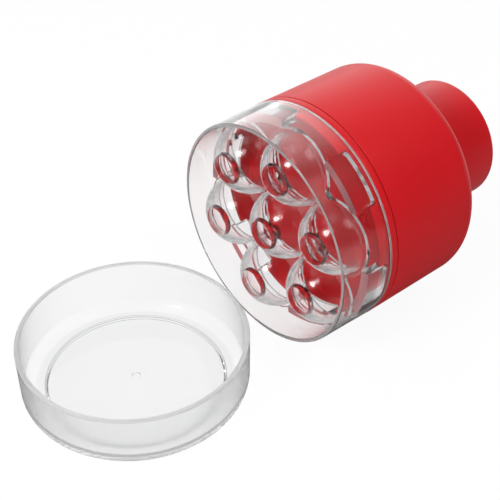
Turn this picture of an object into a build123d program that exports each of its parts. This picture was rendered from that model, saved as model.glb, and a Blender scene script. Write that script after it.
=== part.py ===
from build123d import *
import math
import os

# Cherry pitter for seven cherries, in millimetres, +Z up.
# The origin is the centre of the pit cup's foot, on the table.
# The barrel lies along +X beside the cup. Along it, a depth is a distance from the
# tray's front rim towards the handle.

# Cherry tray
CUP_PITCH = 28.1
CUP_MERGE = 0.15
CUP_WALL = 1.5
CUP_BOTTOM = 2.8
CUP_CENTRE_DEPTH = 13.6
CLUSTER_TURN = 41.7
OUTER_CUPS = 6
PIT_HOLE_RADIUS = 5.75
SCALLOP_MARGIN = 1.2
CUSP_ROUND = 2.6
TRAY_PLATE_STEP = 2.2
TRAY_PLATE_THICKNESS = 2.4
SKIRT_LENGTH = 23.8
SKIRT_WALL = 1.5
SKIRT_TAPER = 0.5
RIM_ROUND = 0.5
LUG_SPREAD = 28.0
LUG_LENGTH = 8.0
LUG_ROUND = 1.8
LUG_STANDIN = 1.2

# Pin guide
GUIDE_WALL = 2.0
COLLAR_LENGTH = 5.0
FLANGE_THICKNESS = 2.9
SPIGOT_LENGTH = 9.3
PLATE_SETBACK = 0.9
PLATE_THICKNESS = 3.0
SPRING_COLLAR_WALL = 2.2
SPRING_COLLAR_HEIGHT = 3.0
NUB_RADIUS = 0.9
NUB_STANDOUT = 0.25
SEAM_BEVEL = 0.3

# Body shell
BODY_WALL = 2.2
SHOULDER_ROUND = 6.4
SLEEVE_LENGTH = 4.6
SLEEVE_WALL = 2.2
BORE_ROUND = 0.6
POST_RADIUS = 3.2
POST_INSET = 2.6

# Push handle
HANDLE_RADIUS = 25.2
HANDLE_WALL = 2.4
HANDLE_END = 2.8
HANDLE_ROUND = 2.1
HANDLE_INNER_ROUND = 1.5
HANDLE_LEFT_OUT = 4.8
PRESS_STROKE = 29.0
SPRING_POST_RADIUS = 4.6
SPRING_SEAT_RADIUS = 8.2
BOSS_RADIUS = 3.4
BOSS_CIRCLE = 17.5
RIB_THICKNESS = 1.6
RIB_RISE = 3.4

# Pin carrier and pins
CARRIER_THICKNESS = 4.0
LOBE_WALL = 2.6
STOP_OVERLAP = 1.9
PIN_RADIUS = 3.0
PIN_SOCKET = 3.2
CENTRE_PIN_SOCKET = 6.0
TIP_RECESS = 0.2
TIP_SLOT = 1.2
TIP_SLOT_DEPTH = 1.2

# Return spring
SPRING_LENGTH = 50.0
SPRING_RADIUS = 6.4
SPRING_WIRE = 1.3
SPRING_TURNS = 8
ARCS_PER_TURN = 4

# Screws
SCREW_RADIUS = 1.5
SCREW_HEAD_RADIUS = 2.8
SCREW_HEAD_HEIGHT = 1.6
SCREW_GRIP = 8.0
SCREW_COUNT = 3
CROSS_LENGTH = 3.2
CROSS_WIDTH = 0.8
CROSS_DEPTH = 0.9

# Pit cup
PIT_CUP_HEIGHT = 23.1
PIT_CUP_WALL = 1.9
PIT_CUP_FLOOR = 1.7
PIT_CUP_DRAFT = 0.2
PIT_CUP_OUTER_ROUND = 5.0
PIT_CUP_INNER_ROUND = 4.5
FOOT_INSET = 3.95
FOOT_HEIGHT = 0.6
GATE_RADIUS = 2.0
GATE_DEPTH = 0.4

# Where the barrel lies beside the pit cup
CUP_TO_TRAY = 12.35
BARREL_OFFSET = -7.0

# Clearances
CLUSTER_CLEARANCE = 0.6
CUP_RIM_CLEARANCE = 0.15
SKIRT_STEP = 0.1
COLLAR_CLEARANCE = 0.4
NOTCH_CLEARANCE = 0.4
SPIGOT_CLEARANCE = 0.1
HANDLE_CLEARANCE = 0.08
PIN_CLEARANCE = 0.08
PRESS_CLEARANCE = 0.6
POST_END_CLEARANCE = 0.8
SPRING_CLEARANCE = 0.4
SCREW_CLEARANCE = 0.2

# Radii that follow from the cup cluster
cup_radius = CUP_PITCH / 2 + CUP_MERGE
cup_bore = cup_radius - CUP_WALL
scallop_radius = cup_radius + SCALLOP_MARGIN
skirt_front_bore = CUP_PITCH + cup_radius + CLUSTER_CLEARANCE
skirt_back_bore = skirt_front_bore + SKIRT_TAPER
pit_cup_radius = skirt_front_bore - CUP_RIM_CLEARANCE
skirt_front_radius = skirt_front_bore + SKIRT_WALL
skirt_back_radius = skirt_back_bore + SKIRT_WALL
body_radius = skirt_back_radius + SKIRT_STEP
body_bore = body_radius - BODY_WALL
collar_radius = skirt_back_bore - COLLAR_CLEARANCE
spigot_radius = body_bore - SPIGOT_CLEARANCE
guide_bore = collar_radius - GUIDE_WALL
post_circle = guide_bore - POST_INSET - SCREW_RADIUS
handle_bore = HANDLE_RADIUS - HANDLE_WALL
sleeve_bore = HANDLE_RADIUS + HANDLE_CLEARANCE
sleeve_radius = sleeve_bore + SLEEVE_WALL
pin_bore = PIN_RADIUS + PIN_CLEARANCE
spring_opening = SPRING_RADIUS + SPRING_WIRE / 2 + SPRING_CLEARANCE + SPRING_WIRE

# Depths along the barrel, from the tray's front rim to the handle's end
cup_front = CUP_CENTRE_DEPTH - cup_radius
cup_bore_centre = cup_front + CUP_BOTTOM + cup_bore
tray_plate_front = CUP_CENTRE_DEPTH - TRAY_PLATE_STEP
tray_plate_back = tray_plate_front + TRAY_PLATE_THICKNESS
lug_back = tray_plate_back + LUG_LENGTH
collar_front = SKIRT_LENGTH - COLLAR_LENGTH
flange_back = SKIRT_LENGTH + FLANGE_THICKNESS
spigot_back = flange_back + SPIGOT_LENGTH
plate_front = flange_back + PLATE_SETBACK
plate_back = plate_front + PLATE_THICKNESS
carrier_front = plate_back + PRESS_CLEARANCE + PRESS_STROKE
carrier_back = carrier_front + CARRIER_THICKNESS
shoulder_inner = carrier_back + SLEEVE_LENGTH
body_back = shoulder_inner + BODY_WALL
handle_back = body_back + PRESS_STROKE + HANDLE_LEFT_OUT
handle_ceiling = handle_back - HANDLE_END
spring_seat = plate_back + SPRING_LENGTH
post_end = plate_back + SPRING_COLLAR_HEIGHT + PRESS_STROKE + POST_END_CLEARANCE
tip_depth = plate_front + TIP_RECESS

# The barrel's own axes: its Z runs from the tray to the handle, along the model's X
barrel_front = pit_cup_radius + CUP_TO_TRAY
BARREL = Plane(
    origin=(barrel_front, BARREL_OFFSET, body_radius), x_dir=(0, 1, 0), z_dir=(1, 0, 0)
)

cup_angles = [CLUSTER_TURN + 360 / OUTER_CUPS * i for i in range(OUTER_CUPS)]
valley_angles = [angle + 180 / OUTER_CUPS for angle in cup_angles]
screw_angles = valley_angles[:: OUTER_CUPS // SCREW_COUNT]


def polar(radius, angle, depth=0.0):
    """A place in the barrel at a radius and an angle, at a depth."""
    turn = math.radians(angle)
    return Pos(radius * math.cos(turn), radius * math.sin(turn), depth)


def turned(outline, rounds=()):
    """A turned solid from a closed (radius, depth) outline, with some corners rounded."""
    face = make_face(outline)
    for corner, radius in rounds:
        nearest = face.vertices().sort_by_distance((*corner, 0))[0]
        face = fillet(nearest, radius)
    return revolve(Plane.XZ * face, Axis.Z)


def corners(*points):
    """A closed outline with straight sides."""
    return Polyline(*points, close=True)


def rod(radius, start, end):
    """A round bar along the barrel between two depths."""
    return Pos(0, 0, start) * Cylinder(
        radius, end - start, align=(Align.CENTER, Align.CENTER, Align.MIN)
    )


def ring_sector(inner, outer, start, end, angle, spread):
    """A piece of a ring between two radii and two depths, centred on an angle."""
    section = make_face(corners((inner, start), (outer, start), (outer, end), (inner, end)))
    return Rot(0, 0, angle - spread / 2) * revolve(Plane.XZ * section, Axis.Z, spread)


def skirt_bore(depth):
    """The skirt's inner radius at a depth, which grows towards the barrel."""
    return skirt_front_bore + SKIRT_TAPER * depth / SKIRT_LENGTH


def cup_places():
    """The cup axes: the middle one, then the outer ones."""
    return [Pos(0, 0, 0)] + [polar(CUP_PITCH, angle) for angle in cup_angles]


def scallop():
    """The tray plate's outline: a lobe round each outer cup, with the cusps rounded off."""
    half_step = 180 / OUTER_CUPS
    flank = CUP_PITCH * math.cos(math.radians(half_step))
    half_chord = CUP_PITCH * math.sin(math.radians(half_step))
    cusp = flank + math.sqrt(scallop_radius**2 - half_chord**2)
    outline = Sketch() + Circle(flank)
    for angle in cup_angles:
        outline += polar(CUP_PITCH, angle) * Circle(scallop_radius)
    cusps = [
        outline.vertices().sort_by_distance(polar(cusp, angle).position)[0]
        for angle in valley_angles
    ]
    return fillet(cusps, CUSP_ROUND)


def make_cup_form():
    """The outside of one cherry cup: half a ball."""
    centre = (0, CUP_CENTRE_DEPTH)
    ball = CenterArc(centre, cup_radius, -90, 90)
    sides = Polyline(ball @ 1, centre, ball @ 0)
    return turned([ball, *sides.edges()])


def make_cup_bore():
    """The inside of one cherry cup: its pit hole and its bowl."""
    centre = (0, cup_bore_centre)
    hole_turn = math.degrees(math.acos(PIT_HOLE_RADIUS / cup_bore))
    bowl = CenterArc(centre, cup_bore, -hole_turn, hole_turn)
    behind = tray_plate_back + TRAY_PLATE_THICKNESS
    hole_start = cup_front - CUP_WALL
    sides = Polyline(
        bowl @ 1,
        (cup_bore, behind),
        (0, behind),
        (0, hole_start),
        (PIT_HOLE_RADIUS, hole_start),
        bowl @ 0,
    )
    return turned([bowl, *sides.edges()])


def make_cherry_tray():
    """Clear tray: a tapered skirt, a scalloped plate and seven cups with a pit hole each."""
    rim_front = [(skirt_front_radius, 0), (skirt_front_bore, 0)]
    tray = turned(
        corners(
            (skirt_front_bore, 0),
            (skirt_front_radius, 0),
            (skirt_back_radius, SKIRT_LENGTH),
            (skirt_back_bore, SKIRT_LENGTH),
        ),
        [(corner, RIM_ROUND) for corner in rim_front],
    )
    tray += Pos(0, 0, tray_plate_front) * extrude(scallop(), TRAY_PLATE_THICKNESS)
    cup_form = make_cup_form()
    cup_bore_form = make_cup_bore()
    tray += [place * cup_form for place in cup_places()]
    tray += [make_lug(angle) for angle in valley_angles]
    tray -= [place * cup_bore_form for place in cup_places()]
    return tray


def make_lug(angle):
    """A tab inside the skirt that keys into a notch of the guide's collar."""
    lug = ring_sector(
        guide_bore - LUG_STANDIN,
        skirt_bore(tray_plate_front) + SKIRT_WALL / 2,
        tray_plate_back - TRAY_PLATE_THICKNESS / 2,
        lug_back,
        angle,
        LUG_SPREAD,
    )
    free_corners = lug.edges().filter_by(GeomType.LINE).group_by(Axis.Z)[-1]
    return fillet(free_corners, LUG_ROUND)


def make_pit_cup():
    """Clear cup on a shallow foot, with a small gate mark in its floor."""
    floor_top = FOOT_HEIGHT + PIT_CUP_FLOOR
    base_radius = pit_cup_radius - PIT_CUP_DRAFT
    foot_radius = base_radius - PIT_CUP_OUTER_ROUND - FOOT_HEIGHT - FOOT_INSET
    inner_base = base_radius - PIT_CUP_WALL
    inner_rim = pit_cup_radius - PIT_CUP_WALL
    cup = turned(
        corners(
            (0, 0),
            (foot_radius, 0),
            (foot_radius + FOOT_HEIGHT, FOOT_HEIGHT),
            (base_radius, FOOT_HEIGHT),
            (pit_cup_radius, PIT_CUP_HEIGHT),
            (inner_rim, PIT_CUP_HEIGHT),
            (inner_base, floor_top),
            (GATE_RADIUS, floor_top),
            (GATE_RADIUS - GATE_DEPTH, floor_top - GATE_DEPTH),
            (0, floor_top - GATE_DEPTH),
        ),
        [
            ((base_radius, FOOT_HEIGHT), PIT_CUP_OUTER_ROUND),
            ((inner_base, floor_top), PIT_CUP_INNER_ROUND),
            ((pit_cup_radius, PIT_CUP_HEIGHT), RIM_ROUND),
            ((inner_rim, PIT_CUP_HEIGHT), RIM_ROUND),
        ],
    )
    return cup


def make_pin_guide():
    """Red insert: notched collar, flange, spigot and the plate that guides the pins."""
    guide = turned(
        corners(
            (0, plate_front),
            (guide_bore, plate_front),
            (guide_bore, collar_front),
            (collar_radius, collar_front),
            (collar_radius, SKIRT_LENGTH),
            (body_radius, SKIRT_LENGTH),
            (body_radius, flange_back - SEAM_BEVEL),
            (body_radius - SEAM_BEVEL, flange_back),
            (spigot_radius, flange_back),
            (spigot_radius, spigot_back),
            (guide_bore, spigot_back),
            (guide_bore, plate_back),
            (0, plate_back),
        )
    )
    guide += rod(pin_bore + SPRING_COLLAR_WALL, plate_back, plate_back + SPRING_COLLAR_HEIGHT)
    notch_spread = LUG_SPREAD + 2 * math.degrees(NOTCH_CLEARANCE / collar_radius)
    notch_back = lug_back + NOTCH_CLEARANCE
    for angle in valley_angles:
        guide -= ring_sector(
            guide_bore - GUIDE_WALL,
            collar_radius + GUIDE_WALL,
            collar_front - GUIDE_WALL,
            notch_back,
            angle,
            notch_spread,
        )
    nub_circle = collar_radius + NUB_STANDOUT - NUB_RADIUS
    nub_depth = SKIRT_LENGTH - COLLAR_LENGTH / 2
    for angle in cup_angles:
        guide += polar(nub_circle, angle, nub_depth) * Sphere(NUB_RADIUS)
    for place in cup_places():
        guide -= place * rod(pin_bore, plate_front, plate_back + SPRING_COLLAR_HEIGHT)
    for angle in screw_angles:
        guide -= polar(post_circle, angle) * screw_room(plate_front, plate_back)
    return guide


def screw_room(front, back):
    """The hole and head recess that a screw needs in a plate."""
    hole = rod(SCREW_RADIUS + SCREW_CLEARANCE, front, back)
    recess = rod(SCREW_HEAD_RADIUS + SCREW_CLEARANCE, front, front + SCREW_HEAD_HEIGHT)
    return hole + recess


def make_screw(front, plate_end):
    """A cross-slotted screw whose head is sunk in the front face of a plate."""
    screw = rod(SCREW_HEAD_RADIUS, front, front + SCREW_HEAD_HEIGHT)
    screw += rod(SCREW_RADIUS, front + SCREW_HEAD_HEIGHT, plate_end + SCREW_GRIP)
    for turn in (0, 90):
        slot = Box(CROSS_LENGTH, CROSS_WIDTH, 2 * CROSS_DEPTH)
        screw -= Pos(0, 0, front) * Rot(0, 0, turn) * slot
    return screw


def make_body_shell():
    """Red barrel with a rounded shoulder, a handle sleeve and three screw posts."""
    shell = turned(
        corners(
            (body_bore, flange_back),
            (body_radius - SEAM_BEVEL, flange_back),
            (body_radius, flange_back + SEAM_BEVEL),
            (body_radius, body_back),
            (sleeve_bore, body_back),
            (sleeve_bore, carrier_back),
            (sleeve_radius, carrier_back),
            (sleeve_radius, shoulder_inner),
            (body_bore, shoulder_inner),
        ),
        [
            ((body_radius, body_back), SHOULDER_ROUND),
            ((body_bore, shoulder_inner), SHOULDER_ROUND - BODY_WALL),
            ((sleeve_bore, body_back), BORE_ROUND),
        ],
    )
    for angle in screw_angles:
        place = polar(post_circle, angle)
        shell += place * rod(POST_RADIUS, plate_back, shoulder_inner + BODY_WALL / 2)
        shell -= place * rod(SCREW_RADIUS, plate_back, plate_back + SCREW_GRIP)
    return shell


def make_push_handle():
    """Red push handle: a hollow drum with a post for the spring and the middle pin."""
    handle = turned(
        corners(
            (0, handle_ceiling),
            (handle_bore, handle_ceiling),
            (handle_bore, carrier_back),
            (HANDLE_RADIUS, carrier_back),
            (HANDLE_RADIUS, handle_back),
            (0, handle_back),
        ),
        [
            ((HANDLE_RADIUS, handle_back), HANDLE_ROUND),
            ((handle_bore, handle_ceiling), HANDLE_INNER_ROUND),
        ],
    )
    inside = handle_ceiling + HANDLE_END / 2
    handle += rod(SPRING_POST_RADIUS, post_end, spring_seat)
    handle += rod(SPRING_SEAT_RADIUS, spring_seat, inside)
    rib_front = spring_seat + RIB_RISE
    rib_reach = handle_bore + HANDLE_WALL / 2
    for angle in screw_angles:
        rib = Box(
            rib_reach, RIB_THICKNESS, inside - rib_front, align=(Align.MIN, Align.CENTER, Align.MIN)
        )
        handle += Pos(0, 0, rib_front) * Rot(0, 0, angle) * rib
        handle += polar(BOSS_CIRCLE, angle) * rod(BOSS_RADIUS, carrier_back, inside)
    for angle in screw_angles:
        handle -= polar(BOSS_CIRCLE, angle) * rod(
            SCREW_RADIUS, carrier_back, carrier_back + SCREW_GRIP
        )
    handle -= rod(PIN_RADIUS, post_end, post_end + CENTRE_PIN_SOCKET)
    return handle


def make_pin_carrier():
    """Lobed plate that holds the outer pins and stops against the shell's sleeve."""
    carrier = rod(sleeve_bore + STOP_OVERLAP, carrier_front, carrier_back)
    for angle in cup_angles:
        carrier += polar(CUP_PITCH, angle) * rod(PIN_RADIUS + LOBE_WALL, carrier_front, carrier_back)
    carrier -= rod(spring_opening, carrier_front, carrier_back)
    for angle in cup_angles:
        carrier -= polar(CUP_PITCH, angle) * rod(
            PIN_RADIUS, carrier_front, carrier_front + PIN_SOCKET
        )
    for angle in screw_angles:
        carrier -= polar(BOSS_CIRCLE, angle) * screw_room(carrier_front, carrier_back)
    return carrier


def make_pin(socket_end):
    """A pin from its socket to its crown tip, which a cross slot splits in four."""
    pin = rod(PIN_RADIUS, tip_depth, socket_end)
    for turn in (0, 90):
        slot = Box(
            3 * PIN_RADIUS, TIP_SLOT, TIP_SLOT_DEPTH, align=(Align.CENTER, Align.CENTER, Align.MIN)
        )
        pin -= Pos(0, 0, tip_depth) * Rot(0, 0, turn) * slot
    return pin


def helix_point(turn, rise):
    """A point of the spring's centre line after a number of turns."""
    angle = 2 * math.pi * turn
    start = plate_back + SPRING_WIRE / 2
    return Vector(
        SPRING_RADIUS * math.cos(angle), SPRING_RADIUS * math.sin(angle), start + rise * turn
    )


def helix_direction(turn, rise):
    """The direction of the spring's centre line after a number of turns."""
    angle = 2 * math.pi * turn
    reach = 2 * math.pi * SPRING_RADIUS
    return Vector(-reach * math.sin(angle), reach * math.cos(angle), rise).normalized()


def biarc(start, start_dir, end, end_dir):
    """Two arcs that join two points and keep the direction at both ends."""
    chord = end - start
    along = chord.dot(start_dir + end_dir)
    bend = 2 * (1 - start_dir.dot(end_dir))
    reach = (math.sqrt(along**2 + bend * chord.dot(chord)) - along) / bend
    near = start + start_dir * reach
    far = end - end_dir * reach
    middle = (near + far) * 0.5
    return [
        TangentArc(start, middle, tangent=start_dir),
        TangentArc(middle, end, tangent=far - near),
    ]


def make_return_spring():
    """Round-wire coil spring between the guide plate and the handle's seat."""
    rise = (SPRING_LENGTH - SPRING_WIRE) / SPRING_TURNS
    arcs = []
    for step in range(SPRING_TURNS * ARCS_PER_TURN):
        first = step / ARCS_PER_TURN
        last = (step + 1) / ARCS_PER_TURN
        arcs += biarc(
            helix_point(first, rise),
            helix_direction(first, rise),
            helix_point(last, rise),
            helix_direction(last, rise),
        )
    print(f"return_spring: least gap between turns {rise - SPRING_WIRE:.2f} mm")
    section = Plane(helix_point(0, rise), z_dir=helix_direction(0, rise)) * Circle(SPRING_WIRE / 2)
    return sweep(section, path=Wire(arcs))


def save(name, shape):
    """Write one piece to its own file."""
    export_step(shape, f"parts/{name}.step")


os.makedirs("parts", exist_ok=True)

save("pit_cup", make_pit_cup())
save("cherry_tray", BARREL * make_cherry_tray())
save("pin_guide", BARREL * make_pin_guide())
save("body_shell", BARREL * make_body_shell())
save("push_handle", BARREL * make_push_handle())
save("pin_carrier", BARREL * make_pin_carrier())
outer_pin = make_pin(carrier_front + PIN_SOCKET)
for number, angle in enumerate(cup_angles, start=1):
    save(f"pit_pin_{number}", BARREL * polar(CUP_PITCH, angle) * outer_pin)
save("centre_pin", BARREL * make_pin(post_end + CENTRE_PIN_SOCKET))
save("return_spring", BARREL * make_return_spring())
carrier_screw = make_screw(carrier_front, carrier_back)
guide_screw = make_screw(plate_front, plate_back)
save(
    "carrier_screws",
    Compound([BARREL * polar(BOSS_CIRCLE, angle) * carrier_screw for angle in screw_angles]),
)
save(
    "guide_screws",
    Compound([BARREL * polar(post_circle, angle) * guide_screw for angle in screw_angles]),
)
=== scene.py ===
"""Looks of the hand cherry pitter: a red barrel, a clear cherry tray and a clear pit cup."""

import logging
import math
from dataclasses import dataclass
from enum import Enum, IntEnum
from typing import Callable, Iterable, Optional, Sequence, Union

import bmesh
import bpy
from mathutils import Matrix, Vector


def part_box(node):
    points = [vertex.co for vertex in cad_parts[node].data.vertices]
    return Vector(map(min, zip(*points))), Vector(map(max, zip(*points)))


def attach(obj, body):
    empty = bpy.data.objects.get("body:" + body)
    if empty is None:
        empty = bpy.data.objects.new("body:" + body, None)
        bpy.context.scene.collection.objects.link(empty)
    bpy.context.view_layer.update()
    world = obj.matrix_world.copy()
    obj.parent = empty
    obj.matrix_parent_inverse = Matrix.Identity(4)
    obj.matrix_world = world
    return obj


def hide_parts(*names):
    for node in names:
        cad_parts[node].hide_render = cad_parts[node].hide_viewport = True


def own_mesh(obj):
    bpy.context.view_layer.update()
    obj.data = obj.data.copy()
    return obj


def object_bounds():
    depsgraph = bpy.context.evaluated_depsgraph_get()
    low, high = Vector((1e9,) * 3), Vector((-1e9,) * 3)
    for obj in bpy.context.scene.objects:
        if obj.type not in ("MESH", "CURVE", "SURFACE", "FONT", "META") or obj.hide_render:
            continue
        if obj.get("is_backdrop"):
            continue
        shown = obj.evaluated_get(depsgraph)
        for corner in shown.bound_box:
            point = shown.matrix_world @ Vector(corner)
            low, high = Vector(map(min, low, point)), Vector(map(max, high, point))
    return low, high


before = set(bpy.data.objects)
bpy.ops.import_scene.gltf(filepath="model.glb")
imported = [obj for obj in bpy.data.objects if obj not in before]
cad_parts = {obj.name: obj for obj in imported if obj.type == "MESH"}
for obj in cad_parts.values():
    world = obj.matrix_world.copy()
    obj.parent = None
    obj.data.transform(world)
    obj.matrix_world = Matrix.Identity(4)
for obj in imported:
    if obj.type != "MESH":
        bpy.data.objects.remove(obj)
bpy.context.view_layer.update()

MM = 0.001
ON_AXIS = 1e-7
ROUND_STEPS = 8
FINE_STEPS = 16
SECTOR_STEPS = 10
SHARP_ANGLE = math.radians(32)
FOOT_RADIUS = 33.0 * MM
# Radii of the two thin dark circles of painted shade on the pit cup's floor, at the foot's edges.
FOOT_SHADE_RADII = (FOOT_RADIUS, FOOT_RADIUS + 0.9 * MM)

log = logging.getLogger("cherry_pitter")

Pair = tuple[float, float]
Triple = tuple[float, float, float]
Profile = list[Pair]
Corner = Triple
Colour = Triple
Piece = bpy.types.Object
Material = bpy.types.Material
Ring = list[bmesh.types.BMVert]
Socket = bpy.types.NodeSocket
Feed = Union[Socket, float, Sequence[float]]


class Body(Enum):
    """The bodies that pieces ride on."""

    BARREL = "barrel"
    PLUNGER = "plunger"
    TRAY = "tray"
    CUP = "cup"


class Slot(Enum):
    """The record's material slots of the pieces made here."""

    RED = "red_plastic"
    CLEAR = "clear_plastic"
    SPRING = "spring_steel"


class Join(Enum):
    """How one form is combined with others."""

    ADD = "UNION"
    CUT = "DIFFERENCE"


class TrayFace(IntEnum):
    """The tray's dull faces, by the place of their finish after the polished one."""

    RIM = 1
    SEAM = 2
    LUG = 3


class CupFace(IntEnum):
    """The pit cup's upper faces, by the place of their finish after the floor's."""

    WALL = 1
    RIM = 2


# Node trees


@dataclass
class Wiring:
    """Adds nodes to the node tree of a material or of the world and joins them up."""

    tree: bpy.types.NodeTree

    def add(self, kind: str, feeds: dict[Union[str, int], Feed], **options: str) -> bpy.types.Node:
        """Add a node, set its options and feed its inputs.

        Args:
            kind: The node's type.
            feeds: For each input, by name or place, an output to join or a number to set.
            options: The node's own options.

        Returns:
            The new node.
        """
        node = self.tree.nodes.new(kind)
        for name, option in options.items():
            setattr(node, name, option)
        for place, feed in feeds.items():
            if isinstance(feed, Socket):
                self.tree.links.new(feed, node.inputs[place])
            else:
                node.inputs[place].default_value = feed
        return node

    def path(self) -> bpy.types.bpy_prop_collection:
        """Add a Light Path node and give its outputs."""
        return self.add("ShaderNodeLightPath", {}).outputs

    def math(self, operation: str, *terms: Feed) -> Socket:
        """Work something out from terms that are outputs or numbers."""
        return self.add("ShaderNodeMath", dict(enumerate(terms)), operation=operation).outputs["Value"]

    def along(self, vector: Socket, direction: Vector) -> Socket:
        """Measure a vector along a direction of length 1."""
        node = self.add("ShaderNodeVectorMath", {0: vector, 1: direction}, operation="DOT_PRODUCT")
        return node.outputs["Value"]

    def span(
        self, value: Socket, low: Feed, high: Feed, start: float = 0, end: float = 1, curve: str = "LINEAR"
    ) -> Socket:
        """Spread a value over a range, from low at its start to high at its end."""
        feeds = {"Value": value, "From Min": start, "From Max": end, "To Min": low, "To Max": high}
        return self.add("ShaderNodeMapRange", feeds, interpolation_type=curve).outputs["Result"]

    def mix(self, factor: Socket, first: Feed, second: Feed) -> Socket:
        """Go from one number, at a factor of 0, to another, at 1."""
        return self.add("ShaderNodeMix", {"Factor": factor, "A": first, "B": second}).outputs["Result"]

    def blend(self, factor: Socket, first: Socket, second: Socket) -> Socket:
        """Blend two shaders, the first at a factor of 0 and the second at 1."""
        return self.add("ShaderNodeMixShader", {"Fac": factor, 1: first, 2: second}).outputs["Shader"]


class NodeSheet(Wiring):
    """The nodes of one procedural material."""

    def __init__(self, name: str) -> None:
        """Start a material with a Principled shader.

        Args:
            name: The material's name.
        """
        self.material = bpy.data.materials.new(name)
        self.material.use_nodes = True
        super().__init__(self.material.node_tree)
        self.shader = self.tree.nodes["Principled BSDF"]
        self.place = self.add("ShaderNodeTexCoord", {}).outputs["Object"]

    def noise(self, scale: float, detail: float, stretch: Triple = (1, 1, 1)) -> Socket:
        """Add a noise texture in object space.

        Args:
            scale: Features per metre.
            detail: Octaves of finer noise.
            stretch: Scale along each axis, for grain that runs one way.

        Returns:
            The noise's factor output.
        """
        spot = self.add("ShaderNodeMapping", {"Vector": self.place, "Scale": stretch}).outputs["Vector"]
        texture = self.add("ShaderNodeTexNoise", {"Vector": spot, "Scale": scale, "Detail": detail})
        return texture.outputs["Fac"]

    def tint(self, factor: Socket, first: Colour, second: Colour) -> Socket:
        """Blend two colours by a factor.

        Args:
            factor: An output from 0 to 1.
            first: Linear colour at 0.
            second: Linear colour at 1.

        Returns:
            The colour output.
        """
        node = self.add("ShaderNodeValToRGB", {"Fac": factor})
        node.color_ramp.elements[0].color = (*first, 1)
        node.color_ramp.elements[1].color = (*second, 1)
        return node.outputs["Color"]

    def circles(self, radii: Sequence[float], width: float) -> Socket:
        """Mark thin circles round the object's upright axis, for lines of painted shade.

        Args:
            radii: The circles' radii in metres.
            width: How far each circle fades out.

        Returns:
            A factor that is 1 on the circles and 0 between them.
        """
        flat = self.add("ShaderNodeVectorMath", {0: self.place, 1: (1, 1, 0)}, operation="MULTIPLY")
        reach = self.add("ShaderNodeVectorMath", {0: flat.outputs["Vector"]}, operation="LENGTH")
        marks = []
        for radius in radii:
            away = self.math("ABSOLUTE", self.math("SUBTRACT", reach.outputs["Value"], radius))
            marks.append(self.span(away, 1.0, 0.0, end=width, curve="SMOOTHSTEP"))
        total = marks[0]
        for mark in marks[1:]:
            total = self.math("MAXIMUM", total, mark)
        return total

    def shade(self, colour: Socket, factor: Socket, dark: Colour) -> Socket:
        """Paint shade into a colour: turn it dark where a factor from 0 to 1 is high."""
        feeds = {"Fac": factor, "Color1": colour, "Color2": (*dark, 1)}
        return self.add("ShaderNodeMixRGB", feeds).outputs["Color"]

    def roughen(self, factor: Socket, middle: float, spread: float) -> None:
        """Let the roughness wander by a spread to either side of a middle value."""
        self.link(self.span(factor, middle - spread, middle + spread), "Roughness")

    def bump(self, height: Socket, depth: float, strength: float) -> None:
        """Raise the surface by a height map, to a depth in metres, as far as its strength shows it."""
        node = self.add("ShaderNodeBump", {"Strength": strength, "Distance": depth, "Height": height})
        self.link(node.outputs["Normal"], "Normal")

    def set(self, **values: Union[float, Sequence[float]]) -> None:
        """Set constants on the shader's own sockets, with underscores for spaces."""
        for name, value in values.items():
            self.shader.inputs[name.replace("_", " ")].default_value = value

    def link(self, output: Socket, name: str) -> None:
        """Feed an output into one of the shader's sockets."""
        self.tree.links.new(output, self.shader.inputs[name])


# Finishes


@dataclass(frozen=True)
class SatinRed:
    """Red moulded plastic with a fine satin spark-eroded skin."""

    name: str = "satin_red_plastic"
    deep: Colour = (0.52, 0.006, 0.010)
    bright: Colour = (0.57, 0.008, 0.013)
    roughness: float = 0.36
    roughness_spread: float = 0.05
    refraction: float = 1.5
    sheen: float = 0.16
    cloud: float = 45.0
    cloud_detail: float = 3.0
    grain: float = 2600.0
    grain_detail: float = 2.0
    grain_depth: float = 0.03 * MM
    grain_strength: float = 0.35

    def material(self) -> Material:
        """Build the material.

        Returns:
            A satin red material.
        """
        sheet = NodeSheet(self.name)
        cloud = sheet.noise(self.cloud, self.cloud_detail)
        grain = sheet.noise(self.grain, self.grain_detail)
        sheet.link(sheet.tint(cloud, self.deep, self.bright), "Base Color")
        sheet.roughen(grain, self.roughness, self.roughness_spread)
        sheet.bump(grain, self.grain_depth, self.grain_strength)
        sheet.set(IOR=self.refraction, Specular_IOR_Level=self.sheen)
        return sheet.material


@dataclass(frozen=True)
class ClearPlastic:
    """Clear moulded plastic, faintly uneven, polished or dull, with circles of painted shade if asked."""

    name: str = "clear_polished_plastic"
    tint_low: Colour = (0.965, 0.966, 0.968)
    tint_high: Colour = (0.98, 0.981, 0.983)
    roughness: float = 0.015
    roughness_spread: float = 0.01
    refraction: float = 1.49
    clarity: float = 1.0
    mirror: float = 0.05
    gloss: float = 1.0
    gloss_roughness: float = 0.16
    wave: float = 70.0
    wave_detail: float = 1.0
    # Circles of painted shade in the base colour: their radii, how far each fades out, and their dark
    # colour.
    shade_circles: tuple[float, ...] = ()
    shade_width: float = 0.22 * MM
    painted_shade_colour: Colour = (0.30, 0.305, 0.31)

    def material(self) -> Material:
        """Build the material.

        Returns:
            A clear refracting material.
        """
        sheet = NodeSheet(self.name)
        wave = sheet.noise(self.wave, self.wave_detail)
        colour = sheet.tint(wave, self.tint_low, self.tint_high)
        # Painted shade: dark circles mixed into the base colour.
        if self.shade_circles:
            colour = sheet.shade(colour, sheet.circles(self.shade_circles, self.shade_width), self.painted_shade_colour)
        sheet.link(colour, "Base Color")
        sheet.roughen(wave, self.roughness, self.roughness_spread)
        sheet.set(IOR=self.refraction, Transmission_Weight=self.clarity, Specular_IOR_Level=self.mirror)
        sheet.set(Specular_Tint=(self.mirror, self.mirror, self.mirror, 1.0))
        sheet.set(Coat_Weight=self.gloss, Coat_Roughness=self.gloss_roughness)
        return sheet.material


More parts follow.
